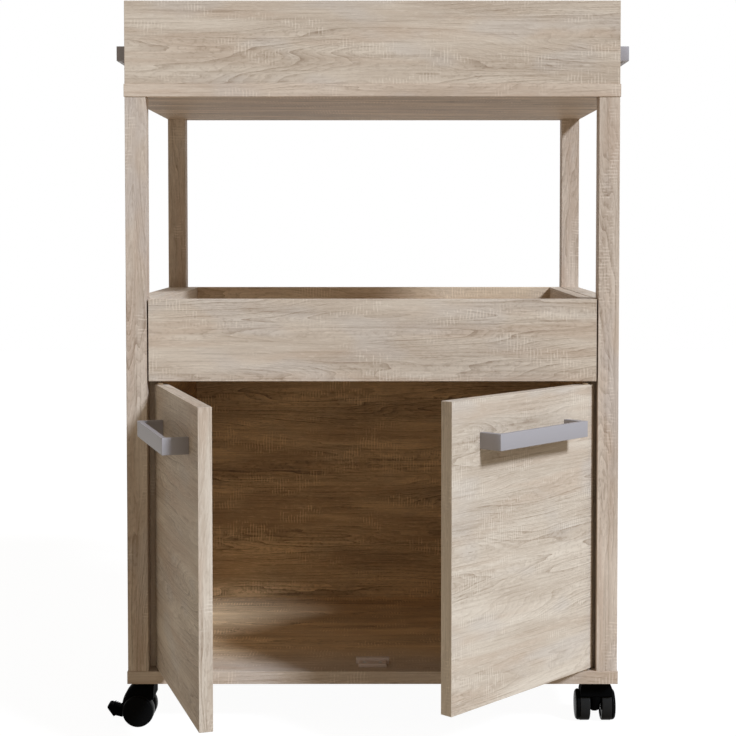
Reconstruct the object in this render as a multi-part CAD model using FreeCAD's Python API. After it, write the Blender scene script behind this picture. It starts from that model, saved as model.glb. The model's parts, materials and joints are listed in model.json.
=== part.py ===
import FreeCAD, Part
import math
import os

# Rolling bar cabinet: four posts carry a top tray, a middle tray and a two-door cabinet on swivel casters.
# Millimetres. +Z is up, the front faces -Y and the floor is z = 0.

Vector = FreeCAD.Vector

# Frame
frame_width = 620.0
frame_depth = 428.0
post_side = 26.0
post_length = 726.0
board = 16.0
board_overhang = 1.0
edge_break = 0.3

# Trays and carcass
rim_height = 103.5
tray_height = 103.5
cabinet_height = 369.0
tray_gap = 2.0
carcass_set_back = 21.5
back_set_in = 13.0

# Doors
door_hinge_gap = 5.0
door_middle_gap = 2.5
door_top_gap = 4.4
door_bottom_gap = 2.2
left_door_degrees = 72.1
right_door_degrees = 47.3

# Pivot hinges at the top and bottom edges of each door
pin_from_edge = 11.0
pin_from_front = 5.5
pin_radius = 2.0
pin_depth = 11.0
bush_wall = 1.4
bush_flange_radius = 4.6
plate_length = 52.0
plate_width = 11.0
plate_thickness = 1.5
plate_set_back = 2.0

# Bar handles
handle_length = 172.0
handle_height = 19.5
handle_reach = 31.0
handle_bar = 6.0
handle_leg = 7.0
handle_edge = 0.8
handle_below_door_top = 49.0
handle_off_middle = 2.5

# Door stop on the base board
stop_width = 36.0
stop_depth = 17.0
stop_height = 4.6
stop_back_width = 43.0
stop_back_depth = 7.0
stop_back_height = 8.0
stop_set_back = 17.6

# Fasteners
dowel_radius = 4.0
dowel_deep = 19.0
dowel_shallow = 10.0
post_screw_radius = 2.5
post_screw_grip = 36.0
post_screw_head_radius = 5.0
post_screw_head = 4.0
handle_screw_radius = 2.0
handle_screw_grip = 11.0
handle_screw_head_radius = 4.0
handle_screw_head = 2.5
small_screw_radius = 1.5
small_screw_grip = 11.0
small_screw_head_radius = 2.8
small_screw_head = 1.2

# Casters
wheel_radius = 20.0
wheel_width = 18.6
wheel_inner_gap = 14.4
wheel_crown = 5.4
caster_height = 56.5
caster_inset = 24.5
caster_trail = 11.8
hood_width = 40.5
hood_lead = 8.0
hood_wall = 2.2
hood_shoulder = 3.0
hub_radius = 8.5
stem_radius = 4.0
stem_reach = 22.5
stem_grip = 12.0
collar_radius = 7.0
collar_thickness = 0.8
insert_radius = 6.0
insert_length = 13.0
axle_radius = 3.0
axle_cover = 2.6
lever_width = 17.0
pedal_length = 24.0
pedal_rise = 6.0
pedal_drop = 11.0
lever_pin_radius = 1.5
lever_pin_out = 17.0
tongue_thickness = 5.0
headings = {"front_left": 180.0, "front_right": 90.0, "rear_left": -70.0, "rear_right": -105.0}
braked = ("front_left", "front_right")

# Clearances
running_fit = 0.05
snug_fit = 0.02
hole_end = 0.5
wheel_room = 0.7
side_room = 0.5
rest_gap = 0.2

# Heights of the stack
base_bottom = caster_height
base_top = base_bottom + board
tray_bottom = base_top + cabinet_height
tray_top = tray_bottom + tray_height
top_bottom = base_top + post_length
top_top = top_bottom + board
rim_top = top_top + rim_height
door_bottom = base_top + door_bottom_gap
door_top = tray_bottom - door_top_gap

# Half widths, from the middle plane outwards
frame_half = frame_width / 2
post_half = frame_half - post_side
carcass_inner = post_half - board
tray_half = post_half - tray_gap
tray_inner = tray_half - board
door_outer = post_half - door_hinge_gap
door_width = door_outer - door_middle_gap / 2
pin_x = door_outer - pin_from_edge

# Depths, with the box of the standing part centred on y = 0
def door_reach(degrees):
    turn = math.radians(degrees)
    out = door_width - pin_from_edge
    corners = ((out, pin_from_front - edge_break), (out - edge_break, pin_from_front))
    return max(far * math.sin(turn) + near * math.cos(turn) for far, near in corners) - pin_from_front


reach = max(door_reach(left_door_degrees), door_reach(right_door_degrees))
front_y = -(frame_depth + board_overhang - reach) / 2
back_y = front_y + frame_depth
carcass_front = front_y + carcass_set_back
back_panel_back = back_y - back_set_in
back_panel_front = back_panel_back - board
pin_y = front_y + pin_from_front
bush_radius = pin_radius + bush_wall
door_angles = {"left": -left_door_degrees, "right": right_door_degrees}
sides = {"left": -1, "right": 1}

parts = {}


def block(x0, x1, y0, y1, z0, z1):
    return Part.makeBox(x1 - x0, y1 - y0, z1 - z0, Vector(x0, y0, z0))


def panel(x0, x1, y0, y1, z0, z1):
    # A board with its edges broken
    shape = block(x0, x1, y0, y1, z0, z1)
    return shape.makeChamfer(edge_break, shape.Edges)


def rod(radius, length, start, direction):
    return Part.makeCylinder(radius, length, start, direction)


def mirror_x(shape, side):
    if side > 0:
        return shape
    return shape.mirror(Vector(0, 0, 0), Vector(1, 0, 0))


def carve(shape, cutters):
    near = [cutter for cutter in cutters if shape.BoundBox.intersect(cutter.BoundBox)]
    return shape.cut(near) if near else shape


# Boards and posts
base_x = frame_half + board_overhang
base_front = front_y - board_overhang
base_back = back_y + board_overhang
boards = {
    "base_board": panel(-base_x, base_x, base_front, base_back, base_bottom, base_top),
    "top_board": panel(-base_x, base_x, base_front, base_back, top_bottom, top_top),
    "back_panel": panel(-post_half, post_half, back_panel_front, back_panel_back, base_top, tray_top),
    "tray_front": panel(-tray_half, tray_half, front_y, front_y + board, tray_bottom, tray_top),
    "tray_floor": panel(-tray_inner, tray_inner, front_y + board, back_panel_front, tray_bottom, tray_bottom + board),
    "rim_front": panel(-frame_half, frame_half, front_y, front_y + board, top_top, rim_top),
    "rim_back": panel(-frame_half, frame_half, back_y - board, back_y, top_top, rim_top),
}
post_front = panel(post_half, frame_half, front_y, front_y + post_side, base_top, top_bottom)
post_rear = panel(post_half, frame_half, back_y - post_side, back_y, base_top, top_bottom)
carcass_side = panel(carcass_inner, post_half, carcass_front, back_panel_front, base_top, tray_bottom)
tray_side = panel(tray_inner, tray_half, front_y + board, back_panel_front, tray_bottom, tray_top)
side_rail = panel(post_half, frame_half, front_y + post_side, back_y - post_side, tray_bottom, tray_top)
rim_side = panel(frame_half - board, frame_half, front_y + board, back_y - board, top_top, rim_top)
for side_name, side in sides.items():
    boards["post_front_" + side_name] = mirror_x(post_front, side)
    boards["post_rear_" + side_name] = mirror_x(post_rear, side)
    boards["carcass_side_" + side_name] = mirror_x(carcass_side, side)
    boards["tray_side_" + side_name] = mirror_x(tray_side, side)
    boards["side_rail_" + side_name] = mirror_x(side_rail, side)
    boards["rim_" + side_name] = mirror_x(rim_side, side)

# Dowels: a joint point, the way into the second board, and how deep each end goes
up, along_y, along_x = Vector(0, 0, 1), Vector(0, 1, 0), Vector(1, 0, 0)
middle_y = (front_y + back_y) / 2
rail_levels = [tray_bottom + tray_height * share for share in (0.3, 0.75)]
side_levels = [base_top + cabinet_height * share for share in (0.2, 0.8)]
floor_level = tray_bottom + board / 2
joints = []
for side in sides.values():
    post_middle = side * (post_half + post_side / 2)
    side_middle = side * (carcass_inner + board / 2)
    tray_middle = side * (tray_inner + board / 2)
    rim_middle = side * (frame_half - board / 2)
    for level in rail_levels:
        joints.append((Vector(post_middle, front_y + post_side, level), along_y, dowel_shallow, dowel_deep))
        joints.append((Vector(post_middle, back_y - post_side, level), -along_y, dowel_shallow, dowel_deep))
        joints.append((Vector(tray_middle, back_panel_front, level), -along_y, dowel_shallow, dowel_deep))
        joints.append((Vector(tray_middle, front_y + board, level), along_y, dowel_shallow, dowel_deep))
    for level in side_levels:
        joints.append((Vector(side_middle, back_panel_front, level), -along_y, dowel_shallow, dowel_deep))
    for share in (-0.2, 0.2):
        seat = Vector((side_middle + tray_middle) / 2, middle_y + share * frame_depth, tray_bottom)
        joints.append((seat, up, dowel_shallow, dowel_deep))
    for share in (-0.3, 0.3):
        y = middle_y + share * frame_depth
        joints.append((Vector(side_middle, y, base_top), up, dowel_shallow, dowel_deep))
        joints.append((Vector(rim_middle, y, top_top), up, dowel_shallow, dowel_deep))
        joints.append((Vector(side * tray_inner, y, floor_level), Vector(-side, 0, 0), dowel_shallow, dowel_deep))
    spread = side * frame_width * 0.3
    joints.append((Vector(spread, front_y + board / 2, top_top), up, dowel_shallow, dowel_deep))
    joints.append((Vector(spread, back_y - board / 2, top_top), up, dowel_shallow, dowel_deep))
    joints.append((Vector(spread, front_y + board, floor_level), along_y, dowel_shallow, dowel_deep))
    joints.append((Vector(spread, back_panel_front + board / 2, base_top), up, dowel_shallow, dowel_deep))

dowels = []
dowel_holes = []
for point, way, first, second in joints:
    dowels.append(rod(dowel_radius, first + second, point - way * first, way))
    hole_length = first + second + 2 * hole_end
    dowel_holes.append(rod(dowel_radius + running_fit, hole_length, point - way * (first + hole_end), way))

# Long screws through the base and top boards into the ends of the posts
frame_screws = []
screw_holes = []
for side in sides.values():
    for y in (front_y + post_side / 2, back_y - post_side / 2):
        x = side * (post_half + post_side / 2)
        for start, way in ((Vector(x, y, base_bottom), up), (Vector(x, y, top_top), -up)):
            head = rod(post_screw_head_radius, post_screw_head, start, way)
            frame_screws.append(head.fuse(rod(post_screw_radius, board + post_screw_grip, start, way)).removeSplitter())
            recess = rod(post_screw_head_radius + running_fit, post_screw_head, start, way)
            hole = rod(post_screw_radius + running_fit, board + post_screw_grip + hole_end, start, way)
            screw_holes.append(recess.fuse(hole))


# Bar handle: the wall face is y = 0, the bar stands out to -Y and runs along X
def bar_handle():
    half = handle_length / 2
    outer = block(-half, half, -handle_reach, 0, -handle_height / 2, handle_height / 2)
    long_edges = [edge for edge in outer.Edges if edge.BoundBox.YMax < -handle_reach / 2]
    outer = outer.makeChamfer(handle_edge, long_edges)
    gap = block(-half + handle_leg, half - handle_leg, -handle_reach + handle_bar, 1,
                -handle_height, handle_height)
    return outer.cut([gap] + [hole for hole in handle_holes(0)])


def handle_holes(wall):
    hole_x = (handle_length - handle_leg) / 2
    length = wall + handle_screw_grip + hole_end
    return [rod(handle_screw_radius + running_fit, length, Vector(x, wall, 0), -along_y) for x in (-hole_x, hole_x)]


def handle_screws(wall):
    hole_x = (handle_length - handle_leg) / 2
    screws = []
    for x in (-hole_x, hole_x):
        head = rod(handle_screw_head_radius, handle_screw_head, Vector(x, wall, 0), along_y)
        head = head.makeChamfer(handle_screw_head * 0.3, [head.Edges[0]])
        shank = rod(handle_screw_radius, wall + handle_screw_grip, Vector(x, wall, 0), -along_y)
        screws.append(head.fuse(shank).removeSplitter())
    return screws


# Push handles on the side rims
push_z = (top_top + rim_top) / 2
push_screws = []
for side_name, side in sides.items():
    place = FreeCAD.Placement(Vector(side * frame_half, middle_y, push_z), FreeCAD.Rotation(up, side * 90))
    parts["push_handle_" + side_name] = bar_handle().transformed(place.Matrix)
    push_screws += [screw.transformed(place.Matrix) for screw in handle_screws(board)]
    push_holes = [hole.transformed(place.Matrix) for hole in handle_holes(board)]
    boards["rim_" + side_name] = boards["rim_" + side_name].cut(push_holes)
parts["push_handle_screws"] = Part.makeCompound(push_screws)


# Flat-head screw driven along a direction from the surface that it sits flush with
def small_screw(start, way):
    head = Part.makeCone(small_screw_head_radius, small_screw_radius, small_screw_head, start, way)
    return head.fuse(rod(small_screw_radius, small_screw_grip, start, way)).removeSplitter()


def small_screw_hole(start, way):
    head = Part.makeCone(small_screw_head_radius + running_fit, small_screw_radius + running_fit,
                         small_screw_head, start, way)
    return head.fuse(rod(small_screw_radius + running_fit, small_screw_grip + hole_end, start, way))


# Flat plate with round corners, let into the face of a board
def flat_plate(room, z0, z1):
    plate = block(plate_outer - plate_length - room, plate_outer + room, plate_y0 - room, plate_y1 + room, z0, z1)
    upright = [edge for edge in plate.Edges if edge.BoundBox.ZLength > (z1 - z0) / 2]
    return plate.makeFillet(plate_width * 0.3, upright)


# Pivot plates: each has a pin and is screwed into the base board or the underside of the tray front
plates = {"lower": [], "upper": []}
plate_screws = []
plate_holes = []
plate_outer = pin_x + plate_width / 2
plate_y0 = front_y + plate_set_back
plate_y1 = plate_y0 + plate_width
for side in sides.values():
    for level, seat, way in (("lower", base_top, 1), ("upper", tray_bottom, -1)):
        z0, z1 = sorted((seat, seat - way * plate_thickness))
        gap = door_bottom_gap if level == "lower" else door_top_gap
        foot = Vector(pin_x, pin_y, seat - way * plate_thickness)
        pin = rod(pin_radius, plate_thickness + gap + pin_depth, foot, up * way)
        plate = mirror_x(flat_plate(0, z0, z1).fuse(pin).removeSplitter(), side)
        pocket = mirror_x(flat_plate(running_fit, z0, z1), side)
        owner = "base_board" if level == "lower" else "tray_front"
        boards[owner] = boards[owner].cut(pocket)
        screw_places = [plate_outer - plate_length * share for share in (0.55, 0.85)]
        for x in screw_places:
            start = Vector(side * x, (plate_y0 + plate_y1) / 2, seat)
            plate_screws.append(small_screw(start, up * -way))
            plate_holes.append(small_screw_hole(start, up * -way))
        plates[level].append(carve(plate, plate_holes))
for level, shapes in plates.items():
    parts["pivot_plates_" + level] = Part.makeCompound(shapes)
parts["pivot_plate_screws"] = Part.makeCompound(plate_screws)

# Door stop in the middle of the base board's front
stop_front = front_y + stop_set_back
stop = block(-stop_width / 2, stop_width / 2, stop_front, stop_front + stop_depth, base_top, base_top + stop_height)
stop_back = block(-stop_back_width / 2, stop_back_width / 2, stop_front + stop_depth,
                  stop_front + stop_depth + stop_back_depth, base_top, base_top + stop_back_height)
stop = stop.fuse(stop_back).removeSplitter()
stop_top_edges = [edge for edge in stop.Edges if edge.BoundBox.ZMin > base_top + stop_height - edge_break]
stop = stop.makeChamfer(edge_break, stop_top_edges)
stop_screws = []
stop_holes = []
for side in sides.values():
    start = Vector(side * stop_width * 0.28, stop_front + stop_depth / 2, base_top + stop_height)
    stop_screws.append(small_screw(start, -up))
    stop_holes.append(small_screw_hole(start, -up))
parts["door_stop"] = stop.cut(stop_holes)
parts["door_stop_screws"] = Part.makeCompound(stop_screws)

# Doors, modelled shut on the right-hand side, then swung about their pins
door_middle_x = door_outer - door_width / 2
handle_z = door_top - handle_below_door_top
door_place = FreeCAD.Placement(Vector(door_middle_x - handle_off_middle, front_y, handle_z), FreeCAD.Rotation())
bush_seats = ((door_bottom, up), (door_top, -up))
bush_flange = door_bottom_gap - rest_gap
door = panel(door_outer - door_width, door_outer, front_y, front_y + board, door_bottom, door_top)
bushes = []
for z, way in bush_seats:
    seat = Vector(pin_x, pin_y, z)
    door = door.cut(rod(bush_radius + snug_fit, pin_depth + hole_end + bush_wall, seat, way))
    flange = rod(bush_flange_radius, bush_flange, seat - way * bush_flange, way)
    sleeve = rod(bush_radius, pin_depth + bush_wall, seat, way)
    bore = rod(pin_radius + running_fit, pin_depth + hole_end + bush_flange, seat - way * bush_flange, way)
    bushes.append(flange.fuse(sleeve).removeSplitter().cut(bore))
door = door.cut([hole.transformed(door_place.Matrix) for hole in handle_holes(board)])
door_pieces = {
    "door": door,
    "door_handle": bar_handle().transformed(door_place.Matrix),
    "door_handle_screws": Part.makeCompound([screw.transformed(door_place.Matrix) for screw in handle_screws(board)]),
    "pivot_bushes": Part.makeCompound(bushes),
}
for side_name, side in sides.items():
    for piece_name, shape in door_pieces.items():
        placed = mirror_x(shape, side).copy()
        placed.rotate(Vector(side * pin_x, pin_y, 0), up, door_angles[side_name])
        parts[piece_name + "_" + side_name] = placed


# Casters, modelled about the swivel axis with the wheels trailing to +X and the axle along Y
axle_z = wheel_radius
wheel_inner = wheel_inner_gap / 2
wheel_outer = wheel_inner + wheel_width
web_half = wheel_inner - side_room
hood_top = base_bottom - collar_thickness - rest_gap
hood_inner = wheel_radius + wheel_room
hood_outer = hood_inner + hood_wall


def around_axle(radius, degrees):
    turn = math.radians(degrees)
    return Vector(caster_trail + radius * math.cos(turn), 0, axle_z + radius * math.sin(turn))


def prism(edges, half_width):
    face = Part.Face(Part.Wire(edges))
    face.translate(Vector(0, -half_width, 0))
    return face.extrude(Vector(0, 2 * half_width, 0))


def line(a, b):
    return Part.LineSegment(a, b).toShape()


def arc(a, middle, b):
    return Part.Arc(a, middle, b).toShape()


def caster_wheel():
    tread_end = wheel_outer - wheel_crown
    bore = axle_radius + running_fit
    corner = wheel_radius * 0.05
    points = [Vector(bore, wheel_inner, 0), Vector(wheel_radius - corner, wheel_inner, 0),
              Vector(wheel_radius, wheel_inner + corner, 0), Vector(wheel_radius, tread_end, 0)]
    face_edge = Vector(wheel_radius * 0.66, wheel_outer, 0)
    crown = Vector(wheel_radius * 0.92, tread_end + wheel_crown * 0.68, 0)
    dish = [face_edge, Vector(wheel_radius * 0.6, wheel_outer - 0.5, 0), Vector(0, wheel_outer - 0.5, 0),
            Vector(0, wheel_outer - axle_cover, 0), Vector(bore, wheel_outer - axle_cover, 0), points[0]]
    edges = [line(a, b) for a, b in zip(points, points[1:])]
    edges.append(arc(points[-1], crown, face_edge))
    edges += [line(a, b) for a, b in zip(dish, dish[1:])]
    face = Part.Face(Part.Wire(edges))
    wheel = face.revolve(Vector(0, 0, 0), along_y, 360)
    wheel.translate(Vector(caster_trail, 0, axle_z))
    return wheel


def caster_hood(has_brake):
    # Roof over the wheels: an outer arc that falls to the trailing side and an inner arc round the wheels
    lead = Vector(-hood_lead, 0, hood_top)
    crest = Vector(caster_trail + wheel_radius * 0.3, 0, hood_top)
    tail = around_axle(hood_outer, 16)
    shoulder = around_axle(hood_outer + (hood_top - axle_z - hood_outer) * 0.55, 58)
    tail_inner = around_axle(hood_inner, 16)
    lead_inner = around_axle(hood_inner, 138)
    lead_low = Vector(-hood_lead, 0, lead_inner.z + hood_wall)
    roof = prism([line(lead, crest), arc(crest, shoulder, tail), line(tail, tail_inner),
                  arc(tail_inner, around_axle(hood_inner, 75), lead_inner), line(lead_inner, lead_low),
                  line(lead_low, lead)], hood_width / 2)
    rounded = block(-hood_lead, caster_trail + hood_outer + hood_wall, -hood_width / 2, hood_width / 2, 0, hood_top)
    top_edges = [edge for edge in rounded.Edges if edge.BoundBox.ZMin > hood_top / 2 and edge.BoundBox.YLength < 1]
    roof = roof.common(rounded.makeFillet(hood_shoulder, top_edges))
    # Web between the wheels, from the stem down round the axle
    stem_side = -stem_radius - hood_wall
    web_top = hood_top - hood_wall
    hub_left, hub_right = around_axle(hub_radius, 180), around_axle(hub_radius, 0)
    web = prism([line(Vector(stem_side, 0, web_top), Vector(hub_right.x, 0, web_top)),
                 line(Vector(hub_right.x, 0, web_top), hub_right),
                 arc(hub_right, around_axle(hub_radius, -90), hub_left),
                 line(hub_left, Vector(stem_side, 0, hood_top - stem_reach - hood_wall)),
                 line(Vector(stem_side, 0, hood_top - stem_reach - hood_wall), Vector(stem_side, 0, web_top))], web_half)
    hood = roof.fuse(web)
    if has_brake:
        reach_out = caster_trail + lever_pin_out
        tongue = block(caster_trail, reach_out, -tongue_thickness / 2, tongue_thickness / 2,
                       axle_z - lever_pin_radius * 2, axle_z + lever_pin_radius * 2)
        nose = rod(lever_pin_radius * 2, tongue_thickness, Vector(reach_out, -tongue_thickness / 2, axle_z), along_y)
        hood = hood.fuse([tongue, nose])
        hood = hood.cut(rod(lever_pin_radius + running_fit, tongue_thickness * 2,
                            Vector(reach_out, -tongue_thickness, axle_z), along_y))
    hood = hood.removeSplitter()
    stem_bore = rod(stem_radius + running_fit, stem_reach, Vector(0, 0, hood_top - stem_reach), up)
    axle_bore = rod(axle_radius + snug_fit, 2 * web_half + 1, Vector(caster_trail, -web_half - 0.5, axle_z), along_y)
    return hood.cut([stem_bore, axle_bore])


def caster_axle():
    half = wheel_outer - axle_cover - hole_end
    return rod(axle_radius, 2 * half, Vector(caster_trail, -half, axle_z), along_y)


def brake_lever():
    # Two cheeks beside the tongue, a pin through it, and a foot pedal outside the hood
    pivot = Vector(caster_trail + lever_pin_out, 0, axle_z)
    cheek = lever_pin_radius * 2
    cheek_end = hood_outer - lever_pin_out + 1
    foot = [Vector(cheek_end, 0, -pedal_drop), Vector(cheek_end, 0, cheek * 0.4),
            Vector(pedal_length * 0.68, 0, pedal_rise), Vector(pedal_length * 0.9, 0, pedal_rise * 0.95),
            Vector(pedal_length, 0, pedal_rise * 0.35), Vector(pedal_length * 0.95, 0, -pedal_rise * 0.1),
            Vector(pedal_length * 0.64, 0, -pedal_drop * 0.85), Vector(pedal_length * 0.5, 0, -pedal_drop * 0.7)]
    foot = [pivot + point for point in foot]
    pedal = prism([line(a, b) for a, b in zip(foot, foot[1:] + foot[:1])], lever_width / 2)
    upright = [edge for edge in pedal.Edges if edge.BoundBox.YLength > lever_width / 2]
    pedal = pedal.makeFillet(0.8, upright[1:])
    inner = tongue_thickness / 2 + running_fit * 4
    outer = web_half
    arms = []
    for y in (-outer, inner):
        arm = block(pivot.x, pivot.x + cheek_end + 1, y, y + outer - inner, axle_z - cheek, axle_z + cheek * 0.4)
        arms.append(arm.fuse(rod(cheek, outer - inner, Vector(pivot.x, y, axle_z), along_y)))
    pin = rod(lever_pin_radius, 2 * outer, Vector(pivot.x, -outer, axle_z), along_y)
    return pedal.fuse(arms + [pin]).removeSplitter()


def caster_stem():
    collar = rod(collar_radius, collar_thickness, Vector(0, 0, base_bottom - collar_thickness), up)
    foot_z = hood_top - stem_reach + hole_end
    return rod(stem_radius, base_bottom + stem_grip - foot_z, Vector(0, 0, foot_z), up).fuse(collar).removeSplitter()


def caster_insert():
    sleeve = rod(insert_radius, insert_length, Vector(0, 0, base_bottom), up)
    return sleeve.cut(rod(stem_radius + snug_fit, insert_length, Vector(0, 0, base_bottom), up))


def caster_place(corner):
    x = (frame_half + board_overhang - caster_inset) * (1 if corner.endswith("right") else -1)
    y = base_front + caster_inset if corner.startswith("front") else base_back - caster_inset
    return FreeCAD.Placement(Vector(x, y, 0), FreeCAD.Rotation(up, headings[corner]))


stems = []
inserts = []
insert_holes = []
wheel = caster_wheel()
far_wheel = wheel.mirror(Vector(0, 0, 0), along_y)
for corner in headings:
    move = caster_place(corner).Matrix
    parts["caster_hood_" + corner] = caster_hood(corner in braked).transformed(move)
    parts["caster_axle_" + corner] = caster_axle().transformed(move)
    parts["caster_wheel_a_" + corner] = far_wheel.transformed(move)
    parts["caster_wheel_b_" + corner] = wheel.transformed(move)
    if corner in braked:
        parts["brake_lever_" + corner] = brake_lever().transformed(move)
    stems.append(caster_stem().transformed(move))
    inserts.append(caster_insert().transformed(move))
    centre = Vector(move.A14, move.A24, base_bottom)
    insert_holes.append(rod(insert_radius + snug_fit, insert_length + hole_end, centre, up))
parts["caster_stems"] = Part.makeCompound(stems)
parts["caster_inserts"] = Part.makeCompound(inserts)

# Bore the boards and write every sub-part
bores = dowel_holes + screw_holes + plate_holes + stop_holes + insert_holes
for name, shape in boards.items():
    parts[name] = carve(shape, bores)
parts["wood_dowels"] = Part.makeCompound(dowels)
parts["frame_screws"] = Part.makeCompound(frame_screws)

os.makedirs("parts", exist_ok=True)
for name, shape in parts.items():
    shape.exportStep("parts/" + name + ".step")
print(len(parts), "sub-parts written")
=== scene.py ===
import json
import math

import bpy
from mathutils import Matrix, Vector


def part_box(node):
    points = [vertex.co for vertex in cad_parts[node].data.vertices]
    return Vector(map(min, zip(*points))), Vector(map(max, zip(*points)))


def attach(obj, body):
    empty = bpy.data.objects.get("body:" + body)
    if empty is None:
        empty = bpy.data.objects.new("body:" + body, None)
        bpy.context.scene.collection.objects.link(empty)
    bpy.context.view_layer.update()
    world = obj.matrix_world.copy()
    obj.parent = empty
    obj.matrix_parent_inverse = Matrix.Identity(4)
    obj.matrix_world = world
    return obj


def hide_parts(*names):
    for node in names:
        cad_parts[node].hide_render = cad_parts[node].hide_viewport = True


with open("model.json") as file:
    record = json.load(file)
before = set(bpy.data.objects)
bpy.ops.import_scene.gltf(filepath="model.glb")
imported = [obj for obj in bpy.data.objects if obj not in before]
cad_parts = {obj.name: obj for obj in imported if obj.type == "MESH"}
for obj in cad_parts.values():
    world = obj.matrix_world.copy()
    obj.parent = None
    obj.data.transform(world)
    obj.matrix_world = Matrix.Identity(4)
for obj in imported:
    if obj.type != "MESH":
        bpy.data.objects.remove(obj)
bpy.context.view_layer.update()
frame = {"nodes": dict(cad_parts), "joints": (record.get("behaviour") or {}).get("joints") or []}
nodes = frame["nodes"]
joints = {joint["name"]: joint for joint in frame["joints"]}
scene = bpy.context.scene
mm = 0.001
quarter = math.pi / 2
print("frame loaded:", len(nodes), "nodes")


# shader maths: a socket that can be added, multiplied and so on
class Wire:
    def __init__(self, tree, socket=None):
        self.tree = tree
        self.socket = socket

    def node(self, kind, inputs=None, out=0, **settings):
        made = self.tree.nodes.new("ShaderNode" + kind)
        for name, value in settings.items():
            setattr(made, name, value)
        for name, value in (inputs or {}).items():
            if isinstance(value, Wire):
                self.tree.links.new(value.socket, made.inputs[name])
            else:
                made.inputs[name].default_value = value
        return Wire(self.tree, made.outputs[out])

    def math(self, operation, other=0.0):
        return self.node("Math", {0: self, 1: other}, operation=operation)

    def flipped(self, operation, other):
        return self.node("Math", {0: other, 1: self}, operation=operation)

    def __add__(self, other): return self.math("ADD", other)
    def __radd__(self, other): return self.math("ADD", other)
    def __sub__(self, other): return self.math("SUBTRACT", other)
    def __rsub__(self, other): return self.flipped("SUBTRACT", other)
    def __mul__(self, other): return self.math("MULTIPLY", other)
    def __rmul__(self, other): return self.math("MULTIPLY", other)
    def __pow__(self, other): return self.math("POWER", other)

    def between(self, low, high):   # 0 below low, 1 above high, smooth in the middle
        return self.node("MapRange", {"Value": self, "From Min": low, "From Max": high},
                         interpolation_type="SMOOTHSTEP")

    def blend(self, first, second):   # colour mix, this wire is the factor
        return self.node("Mix", {0: self, 6: colourOf(first), 7: colourOf(second)}, out=2, data_type="RGBA")

    def blendVector(self, first, second):
        return self.node("Mix", {0: self, 4: first, 5: second}, out=1, data_type="VECTOR")

    def stretch(self, along, across, deep, shift=(0, 0, 0)):   # scaled copy of a coordinate
        return self.node("Mapping", {"Vector": self, "Scale": (along, across, deep), "Location": shift})

    def noise(self, detail=2.0, rough=0.5):
        return self.node("TexNoise", {"Vector": self, "Scale": 1.0, "Detail": detail, "Roughness": rough})

    def cells(self):   # distance to the nearest of many scattered points
        return self.node("TexVoronoi", {"Vector": self, "Scale": 1.0, "Randomness": 1.0})

    def part(self, index):
        return self.node("SeparateXYZ", {0: self}, out=index)


def colourOf(value):
    return value if isinstance(value, Wire) else (*value, 1)


def newMaterial(name, **sockets):
    material = bpy.data.materials.new(name)
    material.use_nodes = True
    tree = material.node_tree
    tree.nodes.clear()
    surface = tree.nodes.new("ShaderNodeBsdfPrincipled")
    output = tree.nodes.new("ShaderNodeOutputMaterial")
    tree.links.new(surface.outputs[0], output.inputs[0])
    plug(surface, sockets)
    return material, Wire(tree), surface


def plug(surface, sockets):   # socket names with their spaces left out
    for name, value in sockets.items():
        socket = next(s for s in surface.inputs if s.name.replace(" ", "") == name)
        if isinstance(value, Wire):
            value.tree.links.new(value.socket, socket)
        else:
            socket.default_value = value


# place on the piece in millimetres, turned to its grain
def objectPlace(start, turn=(0, 0, 0), shift=(0, 0, 0)):
    here = start.node("TexCoord", out=3)
    lie = {"Vector": here, "Rotation": turn, "Scale": (1 / mm, 1 / mm, 1 / mm), "Location": shift}
    return here.node("Mapping", lie)


def relief(start, height, depth, strength):   # bump, depth in millimetres
    return start.node("Bump", {"Height": height, "Distance": depth * mm, "Strength": strength})


def dress(name, material):
    mesh = nodes[name].data
    mesh.materials.clear()
    mesh.materials.append(material)


# pale sawn-oak decor foil: colours, the figure with pitches in millimetres, the finish
decor = {
    "pale": (0.69, 0.585, 0.475), "mid": (0.575, 0.47, 0.37), "rosy": (0.575, 0.45, 0.345),
    "cool": (0.615, 0.535, 0.46), "line": (0.285, 0.20, 0.135), "sawn": (0.79, 0.685, 0.57),
    "mean": (0.56, 0.47, 0.37), "meanGrey": 0.48, "evened": 0.6,
    "ringPitch": 11.0, "rings": 15.0, "ripple": 1.5, "knot": 4.0, "knotSize": 0.10, "fineRings": 3.0,
    "ringSharp": 5.0, "fineSharp": 1.5, "poreScale": (0.15, 8.0, 0.2), "sawPitch": 4.2, "wobble": 4.0,
    "shine": 0.25, "rough": 0.52, "streakRough": 0.14, "sawnRough": 0.06, "relief": 0.06, "bump": 0.7,
}
decorFields = {   # noise: its scale along and across the grain, shift, detail and roughness
    "slow": (0.0021, 0.019, (0, 0, 0), 1.2, 0.4), "ripple": (0.007, 0.08, (7, 3, 1), 1.0, 0.5),
    "shown": (0.0045, 0.021, (31, 9, 4), 1.5, 0.5), "streak": (0.009, 0.42, (3, 8, 2), 3.0, 0.62),
    "fibre": (0.07, 0.5, (9, 1, 6), 2.0, 0.6), "wobble": (0.03, 0.06, (0, 0, 0), 1.0, 0.5),
    "patch": (0.013, 0.036, (11, 2, 3), 2.0, 0.5), "broken": (0.11, 0.10, (1, 6, 8), 1.0, 0.5),
    "tone": (0.0045, 0.035, (4, 4, 9), 2.0, 0.5), "rosy": (0.004, 0.045, (22, 1, 5), 2.0, 0.5),
    "cool": (0.011, 0.026, (14, 3, 7), 1.0, 0.5),
}
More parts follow.
